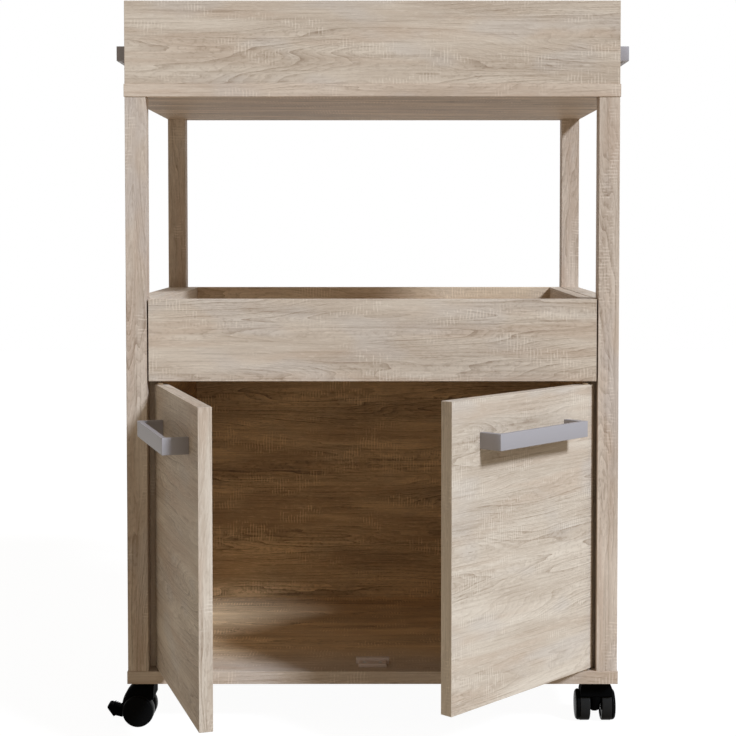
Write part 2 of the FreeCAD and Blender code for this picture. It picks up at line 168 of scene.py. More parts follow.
decorSpans = {   # values between which a mark fades in
    "shown": (0.38, 0.60), "pore": (0.50, 0.66), "streak": (0.48, 0.78), "fibre": (0.52, 0.74),
    "saw": (0.1, 0.95), "patch": (0.51, 0.63), "broken": (0.42, 0.56), "tone": (0.32, 0.66),
    "rosy": (0.46, 0.66), "cool": (0.52, 0.7),
}
# how strongly a mark shows, or how strongly everywhere and how much more where the figure is bold
decorShares = {"latewood": (0.22, 0.50), "fine": (0.26, 0.40), "pore": (0.09, 0.11), "figure": 0.40,
               "streak": 0.36, "darkest": 0.75, "sawn": 0.42, "fibre": 0.28, "palest": 0.6,
               "rosy": 0.75, "cool": 0.6}
decorHeights = {"sawn": 0.6, "pore": 0.9, "figure": 0.4, "fibre": 0.4}   # shares of the relief
faceSpan = (0.6, 0.8)   # how squarely a face looks one way before it counts as that face
# the cupboard's inside, in millimetres, where the painted shade shows
cupboard = {"ceiling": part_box("tray_floor")[0].z / mm, "half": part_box("carcass_side_right")[1].x / mm - 1,
            "front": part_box("carcass_side_right")[0].y / mm, "edge": 1.0}


def strengthen(colour, power, tint):   # more contrast about the decor's mean colour
    gain = [part * mean ** (1 - power) for part, mean in zip(tint, decor["mean"])]
    strong = colour.node("Gamma", {"Color": colour, "Gamma": power})
    return strong.node("VectorMath", {0: strong, 1: gain}, operation="MULTIPLY")


def oakDecor(name, turn, shift, endSwap, tint, power, lined):
    material, start, surface = newMaterial(name, SpecularIORLevel=decor["shine"])
    grain = objectPlace(start, turn, shift)   # the grain runs along the first axis
    face = start.node("TexCoord", out=1)
    facing = face.node("Mapping", {"Vector": face, "Rotation": turn}, vector_type="NORMAL")
    endFace = facing.part(0).math("ABSOLUTE").between(*faceSpan)
    x, y, z = (grain.part(i) for i in range(3))
    swapped = {"y": (y, x, z), "z": (z, y, x)}[endSwap]
    place = endFace.blendVector(grain, start.node("CombineXYZ", dict(enumerate(swapped))))

    def field(key):
        along, across, aside, detail, rough = decorFields[key]
        return place.stretch(along, across, across, aside).noise(detail, rough)

    def mask(key):
        return field(key).between(*decorSpans[key])

    shown = mask("shown")   # where the figure is bold

    def share(key):
        always, bold = decorShares[key]
        return always + shown * bold

    # flat-sawn figure: contour lines of a slow field, drawn together round a few knots
    knot = place.stretch(0.0033, 0.012, 0.012, (2, 5, 0)).cells().between(0.0, decor["knotSize"])
    level = (place.part(1) + place.part(2)) * (1 / decor["ringPitch"])
    level = level + field("slow") * decor["rings"] + field("ripple") * decor["ripple"] - knot * decor["knot"]
    latewood = level.math("FRACT") ** decor["ringSharp"]
    fine = (level * decor["fineRings"]).math("FRACT") ** decor["fineSharp"]
    figure = latewood * share("latewood") + fine * share("fine")

    # short pores that follow the rings, long streaks and fibres
    along, over, aside = decor["poreScale"]
    pore = {0: place.part(0) * along, 1: level * over, 2: (place.part(1) - place.part(2)) * aside}
    pore = start.node("CombineXYZ", pore).noise(1.0, 0.6).between(*decorSpans["pore"])
    streak, fibre = field("streak"), field("fibre")

    # patches of saw marks across the grain
    saw = (place.part(0) + field("wobble") * decor["wobble"]) * (2 * math.pi / decor["sawPitch"])
    sawn = saw.math("SINE").between(*decorSpans["saw"]) * mask("patch") * mask("broken")

    colour = mask("tone").blend(decor["mid"], decor["pale"])
    for key in ("rosy", "cool"):
        colour = (mask(key) * decorShares[key]).blend(colour, decor[key])
    streaks = streak.between(*decorSpans["streak"]) * decorShares["streak"]
    dark = figure * decorShares["figure"] + streaks + pore * share("pore")
    colour = dark.math("MINIMUM", decorShares["darkest"]).blend(colour, decor["line"])
    light = sawn * decorShares["sawn"] + fibre.between(*decorSpans["fibre"]) * decorShares["fibre"]
    colour = light.math("MINIMUM", decorShares["palest"]).blend(colour, decor["sawn"])
    printAndPaintedLight = strengthen(colour, power, tint)
    if lined:   # one face gets painted shade or painted light, a print of its own
        way, paintedTint, paintedPower, fade = lined
        paintedMask = facing.node("VectorMath", {0: facing, 1: way}, out=1, operation="DOT_PRODUCT")
        paintedMask = paintedMask.between(*faceSpan)
        if fade:   # the painted shade shows only in the cupboard
            here = start.node("TexCoord", out=3)
            x, y, z = (here.part(i) * (1 / mm) for i in range(3))
            paintedMask = paintedMask * (cupboard["ceiling"] - z).between(0.0, cupboard["edge"])
            paintedMask = paintedMask * (cupboard["half"] - x.math("ABSOLUTE")).between(0.0, cupboard["edge"])
            paintedMask = paintedMask * (y - cupboard["front"]).between(0.0, fade)
        grey = colour.node("RGBToBW", {"Color": colour}) * (1 / decor["meanGrey"])
        even = grey.node("VectorMath", {0: decor["mean"], "Scale": grey}, operation="SCALE")
        calm = colour.node("Mix", {0: decor["evened"], 6: colour, 7: even}, out=2, data_type="RGBA")
        printAndPaintedLight = paintedMask.blend(printAndPaintedLight, strengthen(calm, paintedPower, paintedTint))
    height = sawn * decorHeights["sawn"] - pore * decorHeights["pore"]
    height = height - figure * decorHeights["figure"] + fibre * decorHeights["fibre"]
    rough = decor["rough"] + streak * decor["streakRough"] - sawn * decor["sawnRough"]
    plug(surface, {"BaseColor": printAndPaintedLight, "Roughness": rough,
                   "Normal": relief(start, height, decor["relief"], decor["bump"])})
    return material


doorTurn = {   # how far each door stands open, in radians
    "left": -math.radians(joints["door_swing_left"]["range_deg"][0]),
    "right": math.radians(joints["door_swing_right"]["range_deg"][0]),
}
boardGrain = {   # board: where its piece of the decor is cut, and the grain of its ends
    "rim_front": ((40, 0, 5), "z"), "rim_back": ((311, 40, 7), "z"), "top_board": ((35, 12, 0), "y"),
    "base_board": ((480, 25, 90), "y"), "tray_front": ((170, 0, 260), "z"),
    "tray_floor": ((620, 55, 31), "y"), "back_panel": ((90, 33, 410), "z"),
}
boardCuts = {   # paired boards: steps on the sheet from the left one to the right one, and from row to row
    "side": ((230, 61, 0), (77, 0, 140)), "post": ((410, 0, 137), (130, 70, 0)),
    "door": ((350, 0, 130), (60, 5, 0)),
}
boardTint = {   # boards from other sheets
    "plain": (1, 1, 1), "top_board": (1.0, 0.97, 0.96), "base_board": (0.91, 0.88, 0.87),
    "post": (0.95, 0.94, 0.95), "door_left": (0.935, 0.955, 0.97), "door_right": (0.935, 0.955, 0.97),
    "back_panel": (1.04, 0.975, 0.87),
}
boardPower = {"plain": 1.15, "post": 1.4, "door_left": 1.45, "door_right": 1.1}   # contrast
# faces with painted shade or painted light: the way they look, tint, contrast, and for a face in the cupboard
# how far behind the doors the painted shade takes to show, in millimetres
paintedLightFaces = {
    # painted shade and bounced light: the cupboard's back, sides and floor browner and more saturated, the
    # back and sides darker too
    "back_panel": ((0, -1, 0), (0.95, 0.81, 0.585), 2.4, 1.0),
    "base_board": ((0, 0, 1), (1.22, 1.08, 0.86), 1.7, 110.0),
    "carcass_side_left": ((0, -1, 0), (0.86, 0.69, 0.46), 2.1, 1.0),
    "carcass_side_right": ((0, 1, 0), (0.86, 0.69, 0.46), 2.1, 1.0),
    # painted shade: the top board's underside darker and browner
    "top_board": ((0, 0, -1), (0.90, 0.83, 0.78), 2.0, None),
    # painted light: the right door's free edge lighter and cooler, as if lit from the front left
    "door_right": ((-1, 0, 0), (1.11, 1.135, 1.165), 1.1, None),
}


def dressBoard(name, turn, shift, endSwap, sheet):
    tint, power = (look.get(sheet, look["plain"]) for look in (boardTint, boardPower))
    dress(name, oakDecor("oakDecor_" + name, turn, shift, endSwap, tint, power, paintedLightFaces.get(name)))


def cutAt(kind, number, row):   # where on the sheet a paired board is cut
    return [number * across + row * down for across, down in zip(*boardCuts[kind])]


for name, (shift, endSwap) in boardGrain.items():
    dressBoard(name, (0, 0, 0), shift, endSwap, name)
for number, side in enumerate(doorTurn):
    for row, name in enumerate(("rim_", "side_rail_", "carcass_side_", "tray_side_")):
        dressBoard(name + side, (0, 0, -quarter), cutAt("side", number, row), "z", "plain")
    for row, name in enumerate(("post_front_", "post_rear_")):
        dressBoard(name + side, (0, quarter, 0), cutAt("post", number, row), "y", "post")
    dressBoard("door_" + side, (0, 0, doorTurn[side]), cutAt("door", number, 1), "z", "door_" + side)
print("boards dressed")


# satin lacquered metal of the bar handles
lacquer = {"grey": (0.335, 0.315, 0.329), "worn": (0.39, 0.365, 0.376), "rough": 0.42, "metallic": 0.10,
           "shine": 0.25, "drawn": 0.35, "cloud": 0.4, "relief": 0.006, "bump": 0.35}


def handleMetal(name, turn):
    material, start, surface = newMaterial(name, Metallic=lacquer["metallic"],
                                           SpecularIORLevel=lacquer["shine"])
    place = objectPlace(start, turn)   # drawn along the first axis
    drawn = place.stretch(0.02, 2.6, 2.6).noise(3.0, 0.6)
    cloud = place.stretch(0.02, 0.05, 0.05, (3, 1, 2)).noise(2.0)
    speck = place.stretch(0.9, 0.9, 0.9).noise(1.0)
    colour = (drawn * lacquer["drawn"] + cloud * lacquer["cloud"]).blend(lacquer["grey"], lacquer["worn"])
    plug(surface, {"BaseColor": colour, "Roughness": lacquer["rough"] + drawn * 0.08 + cloud * 0.06,
                   "Normal": relief(start, drawn + speck * 0.5, lacquer["relief"], lacquer["bump"])})
    return material


# plated steels: bright and dull colour, roughness and metallic, and what they share
steels = {
    "zincSteel": {"bright": (0.60, 0.60, 0.61), "dull": (0.42, 0.42, 0.42), "rough": 0.24, "metallic": 1.0},
    "bronzedSteel": {"bright": (0.30, 0.20, 0.12), "dull": (0.20, 0.13, 0.08), "rough": 0.50,
                     "metallic": 0.2},
}
steelFinish = {"shine": 0.1, "haze": 0.6, "spangle": 0.4, "relief": 0.01, "bump": 0.3}


def platedSteel(name):
    look = steels[name]
    material, start, surface = newMaterial(name, Metallic=look["metallic"],
                                           SpecularIORLevel=steelFinish["shine"])
    place = objectPlace(start)
    spangle = place.stretch(0.5, 0.5, 0.5).cells()
    haze = place.stretch(0.12, 0.12, 0.12, (5, 2, 8)).noise(3.0, 0.6)
    scratch = place.stretch(0.3, 3.0, 3.0).noise(2.0)
    cloud = haze * steelFinish["haze"] + spangle * steelFinish["spangle"]
    colour = cloud.blend(look["bright"], look["dull"])
    plug(surface, {"BaseColor": colour, "Roughness": look["rough"] + haze * 0.2,
                   "Normal": relief(start, scratch + spangle * 0.4, steelFinish["relief"],
                                    steelFinish["bump"])})
    return material


# moulded plastics: base and scuffed colour, roughness, depth of the grain and shine
plastics = {
    "hoodPlastic": {"base": (0.0022, 0.0022, 0.0024), "scuff": (0.006, 0.006, 0.006),
                    "rough": 0.50, "grain": 0.03, "shine": 0.004},
    "wheelPlastic": {"base": (0.0042, 0.0042, 0.0044), "scuff": (0.010, 0.0098, 0.0095),
                     "rough": 0.20, "grain": 0.01, "shine": 0.008,
                     "rubber": (0.019, 0.0185, 0.018)},
    "bushPlastic": {"base": (0.26, 0.18, 0.11), "scuff": (0.32, 0.23, 0.15),
                    "rough": 0.45, "grain": 0.02, "shine": 0.06},
    "stopPlastic": {"base": (0.62, 0.515, 0.475), "scuff": (0.68, 0.575, 0.53),
                    "rough": 0.42, "grain": 0.02, "shine": 0.2},
}
plasticMarks = {"scuff": 0.6, "flow": 0.25, "bump": 0.4}


def mouldedPlastic(name):
    look = plastics[name]
    material, start, surface = newMaterial(name, SpecularIORLevel=look["shine"])
    place = objectPlace(start)
    pebble = place.stretch(2.4, 2.4, 2.4).noise(2.0, 0.6)
    flow = place.stretch(0.05, 0.05, 0.11, (2, 7, 1)).noise(2.0)
    scuff = place.stretch(0.35, 0.9, 0.35, (6, 6, 3)).noise(3.0, 0.7).between(0.58, 0.72)
    wear = scuff * plasticMarks["scuff"] + flow * plasticMarks["flow"]
    colour = wear.blend(look["base"], look["scuff"])
    if "rubber" in look:
        colour = start.node("Attribute", out=2, attribute_name="rubber").blend(colour, look["rubber"])
    plug(surface, {"BaseColor": colour, "Roughness": look["rough"] + pebble * 0.08 + scuff * 0.12,
                   "Normal": relief(start, pebble - scuff * 0.5, look["grain"], plasticMarks["bump"])})
    return material


beech = {"pale": (0.60, 0.43, 0.27), "fleck": (0.42, 0.27, 0.15), "rough": 0.6, "relief": 0.2, "bump": 0.6}


def dowelBeech():
    material, start, surface = newMaterial("dowelBeech", Roughness=beech["rough"])
    place = objectPlace(start)
    fleck = place.stretch(0.5, 0.5, 0.1).noise(3.0, 0.65)
    flute = place.stretch(1.4, 1.4, 0.01, (4, 4, 4)).noise(1.0)
    plug(surface, {"BaseColor": fleck.between(0.4, 0.7).blend(beech["pale"], beech["fleck"]),
                   "Normal": relief(start, flute + fleck * 0.3, beech["relief"], beech["bump"])})
    return material


metal = {"left": handleMetal("handleMetal_left", (0, 0, doorTurn["left"])),
         "right": handleMetal("handleMetal_right", (0, 0, doorTurn["right"])),
         "push": handleMetal("handleMetal_push", (0, 0, -quarter))}
steel = platedSteel("zincSteel")
bronzed = platedSteel("bronzedSteel")
plastic = {name: mouldedPlastic(name) for name in plastics}
dress("wood_dowels", dowelBeech())
for level in ("lower", "upper"):
    dress("pivot_plates_" + level, bronzed)
for name in ("caster_stems", "caster_inserts"):
    dress(name, steel)
for side in doorTurn:
    dress("pivot_bushes_" + side, plastic["bushPlastic"])
print("metals and plastics mixed")


weld = 0.002   # millimetres between points that are merged
crease = math.radians(32)   # edges sharper than this are rounded, and stay sharp in the shading


# modelling helpers
def startPiece(kind, name, **sizes):   # adds a primitive, alone selected, in edit mode
    bpy.ops.object.select_all(action="DESELECT")
    getattr(bpy.ops.mesh, "primitive_" + kind + "_add")(**sizes)
    bpy.context.object.name = name
    bpy.ops.object.mode_set(mode="EDIT")
    return bpy.context.object


def startBlock(name, low, high):   # a cube at its size and place, corners in millimetres
    low, high = Vector(low) * mm, Vector(high) * mm
    piece = startPiece("cube", name, size=1, location=(0, 0, 0))
    bpy.ops.transform.resize(value=high - low, center_override=(0, 0, 0))
    bpy.ops.transform.translate(value=(low + high) / 2)
    return piece


def pickFaces(piece, test):   # selects the faces whose centre, in millimetres, and normal pass the test
    bpy.ops.mesh.select_mode(type="FACE")
    bpy.ops.mesh.select_all(action="DESELECT")
    bpy.ops.object.mode_set(mode="OBJECT")
    for face in piece.data.polygons:
        face.select = test(face.center / mm, face.normal)
    bpy.ops.object.mode_set(mode="EDIT")


def cutAcross(axis, place):   # an edge loop round the piece at a place on one axis
    bpy.ops.mesh.select_all(action="SELECT")
    spot, normal = Vector((0, 0, 0)), Vector((0, 0, 0))
    spot[axis], normal[axis] = place * mm, 1
    bpy.ops.mesh.bisect(plane_co=spot, plane_no=normal)


def pushOut(offset):
    bpy.ops.mesh.extrude_region_move(TRANSFORM_OT_translate={"value": Vector(offset) * mm})


def tidyMesh():
    bpy.ops.mesh.select_all(action="SELECT")
    bpy.ops.mesh.remove_doubles(threshold=weld * mm)
    bpy.ops.mesh.normals_make_consistent(inside=False)
    bpy.ops.object.mode_set(mode="OBJECT")


def drawLine(name, points):   # a chain of vertices, one extruded from the last
    piece = startPiece("plane", name, size=mm)
    bpy.ops.mesh.select_mode(type="VERT")
    bpy.ops.mesh.select_all(action="SELECT")
    bpy.ops.mesh.merge(type="CENTER")
    bpy.ops.mesh.select_all(action="SELECT")
    bpy.ops.transform.translate(value=Vector(points[0]) * mm)
    for before, after in zip(points, points[1:]):
        step = (Vector(after) - Vector(before)) * mm
        bpy.ops.mesh.extrude_vertices_move(TRANSFORM_OT_translate={"value": step})
    bpy.ops.mesh.select_all(action="SELECT")
    return piece


def slab(name, outline, half):   # an outline of (x, z) points given a width either side of the middle
    piece = drawLine(name, [(x, -half, z) for x, z in outline])
    bpy.ops.mesh.edge_face_add()
    pushOut((0, 2 * half, 0))
    tidyMesh()
    return piece


def turned(name, outline, steps):   # an outline of (radius, height) points spun about the Z axis
    piece = drawLine(name, [(r, 0, z) for r, z in outline])
    bpy.ops.mesh.spin(steps=steps, angle=2 * math.pi, center=(0, 0, 0), axis=(0, 0, 1))
    tidyMesh()
    return piece


def bow(centre, radius, first, last, count):   # points along an arc, angles in degrees
    angles = [math.radians(first + (last - first) * i / count) for i in range(count + 1)]
    return [(centre[0] + radius * math.cos(a), centre[1] + radius * math.sin(a)) for a in angles]


def roundEdges(piece, width, segments=3):
    bevel = piece.modifiers.new("edges", "BEVEL")
    bevel.width = width * mm
    bevel.segments = segments
    bevel.limit_method = "ANGLE"
    bevel.angle_limit = crease
    bpy.ops.object.modifier_apply(modifier=bevel.name)


def join(piece, tool, operation):   # boolean with a second mesh, which is used up
    boolean = piece.modifiers.new("join", "BOOLEAN")
    boolean.operation = operation
    boolean.object = tool
    bpy.ops.object.select_all(action="DESELECT")
    bpy.context.view_layer.objects.active = piece
    piece.select_set(True)
    bpy.ops.object.modifier_apply(modifier=boolean.name)
    bpy.data.objects.remove(tool)


# a copy with its own mesh, put in place on its body
def settle(master, name, spot, material, body, node):
    bpy.ops.object.select_all(action="DESELECT")
    bpy.context.view_layer.objects.active = master
    master.select_set(True)
    bpy.ops.object.duplicate(linked=False)
    piece = bpy.context.object
    piece.name = name
    piece.matrix_world = spot
    bpy.ops.object.transform_apply(location=True, rotation=True, scale=True)
    bpy.ops.object.shade_smooth_by_angle(angle=crease)
    piece.data.materials.clear()
    piece.data.materials.append(material)
    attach(piece, body)
    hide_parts(node)


# boxes of a node's separate solids, in millimetres, the node turned back by an angle
def solidBoxes(node, turn=0.0):
    probe = bpy.data.objects.new("probe", nodes[node].data.copy())
    scene.collection.objects.link(probe)
    probe.data.transform(Matrix.Rotation(turn, 4, "Z"))
    bpy.ops.object.select_all(action="DESELECT")
    bpy.context.view_layer.objects.active = probe
    probe.select_set(True)
    bpy.ops.object.mode_set(mode="EDIT")
    tidyMesh()
    bpy.ops.mesh.separate(type="LOOSE")
    boxes = []
    for solid in list(bpy.context.selected_objects):
        corners = [vertex.co / mm for vertex in solid.data.vertices]
        low = Vector([min(c[i] for c in corners) for i in range(3)])
        high = Vector([max(c[i] for c in corners) for i in range(3)])
        boxes.append((low, high))
        bpy.data.objects.remove(solid)
    return sorted(boxes, key=lambda box: tuple(box[0]))


# bar handles: a flat bar with a leg at each end, reaching out along -Y
barHandle = {"bar": 6.0, "leg": 7.0, "edge": 0.55}


def makeBarHandle(low, high):
    half, reach = (high.x - low.x) / 2, high.y - low.y
    rise = (high.z - low.z) / 2
    piece = startBlock("barHandle", (-half, -reach, -rise), (half, barHandle["bar"] - reach, rise))
    for side in (-1, 1):
        cutAcross(0, side * (half - barHandle["leg"]))
    pickFaces(piece, lambda c, n: n.y > 0.9 and abs(c.x) > half - barHandle["leg"])
    pushOut((0, reach - barHandle["bar"], 0))
    tidyMesh()
    roundEdges(piece, barHandle["edge"])
    return piece


handleSpots = {   # handle: its turn, finish and body
    "door_handle_left": (doorTurn["left"], "left", "door_left"),
    "door_handle_right": (doorTurn["right"], "right", "door_right"),
    "push_handle_left": (quarter, "push", "cabinet"),
    "push_handle_right": (-quarter, "push", "cabinet"),
}
for node, (turn, finish, body) in handleSpots.items():
    low, high = solidBoxes(node, turn)[0]
    master = makeBarHandle(low, high)
    foot = Vector(((low.x + high.x) / 2, high.y, (low.z + high.z) / 2)) * mm
    spot = Matrix.Rotation(-turn, 4, "Z") @ Matrix.Translation(foot)
    settle(master, node + "_bar", spot, metal[finish], body, node)
    bpy.data.objects.remove(master)
print("bar handles made")


# cross-head screws: head radius, head height, shank radius, in millimetres
screwKinds = {"handle": (4.0, 2.5, 2.0), "small": (2.8, 1.2, 1.5), "frame": (5.0, 4.0, 2.5)}
screwShape = {   # shares of the shank's radius at the tip, then of the head's height or radius
    "tip": 0.6, "tipRise": 0.5, "taper": 1.6, "rim": 0.3,
    "slot": 0.26, "slotReach": 0.62, "slotDeep": 0.55, "slotFoot": 0.75,
}


def makeScrew(kind, length):
    head, rise, shank = screwKinds[kind]
    tip, rim, dome = rise - length, rise * screwShape["rim"], rise * (1 - screwShape["rim"])
    outline = [(0, tip), (shank * screwShape["tip"], tip + shank * screwShape["tipRise"]),
               (shank, tip + shank * screwShape["taper"]), (shank, 0), (head, 0), (head, rim)]
    outline += bow((head - dome, rim), dome, 15, 90, 5) + [(0, rise)]
    piece = turned("screw", outline, 32)
    wide, far = head * screwShape["slot"] / 2, head * screwShape["slotReach"]
    deep, foot = rise * (1 - screwShape["slotDeep"]), screwShape["slotFoot"]
    for x, y in ((far, wide), (wide, far)):
        cutter = startBlock("crossSlot", (-x, -y, deep), (x, y, rise + 1))
        pickFaces(cutter, lambda c, n: n.z < -0.9)
        bpy.ops.transform.resize(value=(foot, foot, 1))   # the slot narrows downwards
        bpy.ops.object.mode_set(mode="OBJECT")
        join(piece, cutter, "DIFFERENCE")
    return piece


screwRows = {   # node: kind, the way its heads face, the node's turn, its body
    "door_handle_screws_left": ("handle", (0, 1, 0), doorTurn["left"], "door_left"),
    "door_handle_screws_right": ("handle", (0, 1, 0), doorTurn["right"], "door_right"),
    "push_handle_screws": ("handle", "inwards", 0.0, "cabinet"),
    "pivot_plate_screws": ("small", "middle", 0.0, "cabinet"),
    "door_stop_screws": ("small", (0, 0, 1), 0.0, "cabinet"),
    "frame_screws": ("frame", "outwards", 0.0, "cabinet"),
}
cupboardMiddle = (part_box("base_board")[1].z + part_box("tray_front")[0].z) / 2 / mm
frameMiddle = (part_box("post_front_left")[0].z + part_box("post_front_left")[1].z) / 2 / mm
for node, (kind, facing, turn, body) in screwRows.items():
    boxes = solidBoxes(node, turn)
    size = boxes[0][1] - boxes[0][0]
    master = makeScrew(kind, max(size))
    for number, (low, high) in enumerate(boxes):
        middle = (low + high) / 2
        way = Vector(facing) if not isinstance(facing, str) else {
            "inwards": Vector((-math.copysign(1, middle.x), 0, 0)),
            "middle": Vector((0, 0, math.copysign(1, cupboardMiddle - middle.z))),
            "outwards": Vector((0, 0, math.copysign(1, middle.z - frameMiddle)))}[facing]
        seat = middle + way * (max(size) / 2 - screwKinds[kind][1])
        lie = way.to_track_quat("Z", "Y").to_matrix().to_4x4()
        spot = Matrix.Rotation(-turn, 4, "Z") @ Matrix.Translation(seat * mm) @ lie
        settle(master, f"{node}_{number}", spot, steel, body, node)
    bpy.data.objects.remove(master)
print("screws made")


# door stop: a low foot with a raised back bar
doorStop = {"footHalf": 18.0, "footRise": 4.6, "back": 7.0, "edge": 0.5, "screwBore": 1.6, "screwSink": 3.0,
            "through": 9}


def makeDoorStop():
    low, high = (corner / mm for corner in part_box("door_stop"))
    half, back, rise = doorStop["footHalf"], high.y - doorStop["back"], low.z + doorStop["footRise"]
    piece = startBlock("doorStop", (low.x, back, low.z), high)
    for side in (-1, 1):
        cutAcross(0, side * half)
    cutAcross(2, rise)
    pickFaces(piece, lambda c, n: n.y < -0.9 and abs(c.x) < half and c.z < rise)
    pushOut((0, low.y - back, 0))
    tidyMesh()
    roundEdges(piece, doorStop["edge"])
    bore, sink, through = doorStop["screwBore"], doorStop["screwSink"], doorStop["through"]
    seat = [(0, -through), (bore, -through), (bore, 0), (sink, 0), (sink, through), (0, through)]
    headRise = screwKinds["small"][1]
    for near, far in solidBoxes("door_stop_screws"):
        hole = turned("hole", seat, 32)
        hole.location = Vector(((near.x + far.x) / 2, (near.y + far.y) / 2, far.z - headRise)) * mm
        bpy.ops.object.transform_apply(location=True)
        join(piece, hole, "DIFFERENCE")
    return piece


master = makeDoorStop()
settle(master, "door_stop_block", Matrix.Identity(4), plastic["stopPlastic"], "cabinet", "door_stop")
bpy.data.objects.remove(master)
print("door stop made")


# twin-wheel casters, in their own frame: stem on the Z axis, wheels trailing along +X, floor at zero
wheel = {
    "radius": 20.0, "inner": 7.2, "tread": 20.2, "outer": 25.75, "bore": 3.3, "cover": 2.4,
    "hub": (7.0, 7.6), "dish": 1.4, "rim": (15.2, 15.9), "rimBack": 0.2, "innerRound": 1.6,   # inner side
    "treadRound": 0.9, "rubber": 1.2, "groove": 1.5, "grooveFrom": 0.2, "grooveTo": 0.9,
    "capIn": 4.4, "capOut": 1.2, "capRound": 4.0, "crown": ((12.5, 0.3), (7.0, 0.08)),   # outer side
}
caster = {
    "stem": 4.05, "stemBore": (30, 60), "hoodTop": 55.5, "hoodHalf": 20.25, "hoodLead": 8.0,
    "hoodInner": 20.4, "hoodWall": 2.4, "shoulder": 12.0, "tail": 12.0, "archEnd": 138, "droop": 1.6,
    "backSteps": 16, "hub": 8.5, "webHalf": 6.7, "webFoot": 25.0, "webRound": 5.5,
}
brake = {
    "half": 8.5, "length": 24.0, "rise": 6.0, "drop": 11.0, "step": 1.2, "wheelGap": 1.6, "edge": 0.9,
    "toe": 3.8, "toeFall": 4.2, "heel": ((0.67, 0.95), (0.58, 0.80)),   # heel: shares of length and drop
    "pinOut": 17.0, "pin": 1.5, "tongue": 2.5, "armGap": 0.2, "armSunk": 1,
}
ridge = {"count": 4, "first": 0.3, "pitch": 0.22, "slopeEnd": 0.66, "half": 0.5, "inset": 1, "root": 1.6,
         "proud": 0.25, "edge": 0.3}
corners = [name.replace("caster_swivel_", "") for name in joints if name.startswith("caster_swivel_")]


def casterSpots(corner):   # where the stem and the axle are
    return (Vector(joints[kind + corner]["pos_m"]) for kind in ("caster_swivel_", "wheel_spin_a_"))


stemSpot, axleSpot = casterSpots("front_left")
trail = (axleSpot - stemSpot).to_2d().length / mm
axleRise = axleSpot.z / mm


def makeWheel():   # axle along Z, middle plane of the caster at zero
    inner, tread, outer, radius, bore = (wheel[key] for key in ("inner", "tread", "outer", "radius", "bore"))
    hub, rim, dish, rimSide = wheel["hub"], wheel["rim"], inner + wheel["dish"], inner + wheel["rimBack"]
    bead, lip, neck = wheel["innerRound"], wheel["treadRound"], radius - wheel["groove"]
    outline = [(bore, inner), (hub[0], inner), (hub[1], dish), (rim[0], dish), (rim[1], rimSide)]
    outline += bow((radius - bead, rimSide + bead), bead, -90, 0, 6)
    outline += bow((radius - lip, tread - lip), lip, 0, 80, 4)
    # groove between tread and cap, then the cap with its rounded rim
    outline += [(neck, tread + wheel["grooveFrom"]), (neck, tread + wheel["grooveTo"])]
    outline += bow((radius - wheel["capIn"], tread + wheel["capOut"]), wheel["capRound"], -4, 66, 10)
    outline += [(out, outer - fall) for out, fall in wheel["crown"]] + [(0, outer)]
    outline += [(0, outer - wheel["cover"]), (bore, outer - wheel["cover"]), (bore, inner)]
    piece = turned("wheel", outline, 96)
    rubber = piece.data.attributes.new("rubber", "FLOAT", "FACE")   # marks the tread for the material
    for face, mark in zip(piece.data.polygons, rubber.data):
        middle = face.center / mm
        mark.value = float(middle.to_2d().length > radius - wheel["rubber"] and middle.z < tread)
    return piece


def axleBow(radius, first, last, count):
    return bow((trail, axleRise), radius, first, last, count)


def makeHood(braked):
    top, wall, inner, half = (caster[key] for key in ("hoodTop", "hoodWall", "hoodInner", "hoodHalf"))
    lead, shoulder = -caster["hoodLead"], caster["shoulder"]
    tail, low, steps = inner + wall, caster["tail"], caster["backSteps"]
    # the back falls from over the axle to the tail, growing closer to the wheels
    back = []
    for i in range(steps + 1):
        left = 1 - i / steps
        angle = low + (90 - low) * left
        back += axleBow(tail + (top - axleRise - tail) * left ** caster["droop"], angle, angle, 1)[:1]
    before, behind = lead - 2 * shoulder, back[-1][0]
    dome = slab("dome", [(before, top)] + back + [(behind, 0), (before, 0)], half)
    roundEdges(dome, shoulder, 6)
    arch = axleBow(inner, low, caster["archEnd"], 26)
    outline = [(lead, top + 1), (behind + 1, top + 1), (behind + 1, arch[0][1])] + arch
    roof = slab("hood", outline + [(lead, arch[-1][1] + wall)], half + 1)
    join(roof, dome, "INTERSECT")

    # the web between the wheels, with the hub round the axle
    side, webTop, webFoot = -caster["stem"] - wall, top - wall, top - caster["webFoot"]
    away = Vector((side - trail, webFoot - axleRise))   # the web's foot, seen from the axle
    under = math.degrees(math.atan2(away.y, away.x) + math.acos(caster["hub"] / away.length)) - 360
    hub = axleBow(caster["hub"], 0, under, 16)   # ends where a line to the foot leaves it smoothly
    web = slab("web", [(side, webTop), (trail, webTop)] + hub + [(side, webFoot)], caster["webHalf"])
    roundEdges(web, caster["webRound"], 6)
    join(roof, web, "UNION")
    if braked:   # a tongue that holds the lever's pin
        reach, eye = trail + brake["pinOut"], 2 * brake["pin"]
        outline = [(trail, axleRise - eye)] + bow((reach, axleRise), eye, -90, 90, 10)
        join(roof, slab("tongue", outline + [(trail, axleRise + eye)], brake["tongue"]), "UNION")
    stem, (start, end) = caster["stem"], caster["stemBore"]
    join(roof, turned("bore", [(0, start), (stem, start), (stem, end), (0, end)], 40), "DIFFERENCE")
    return roof


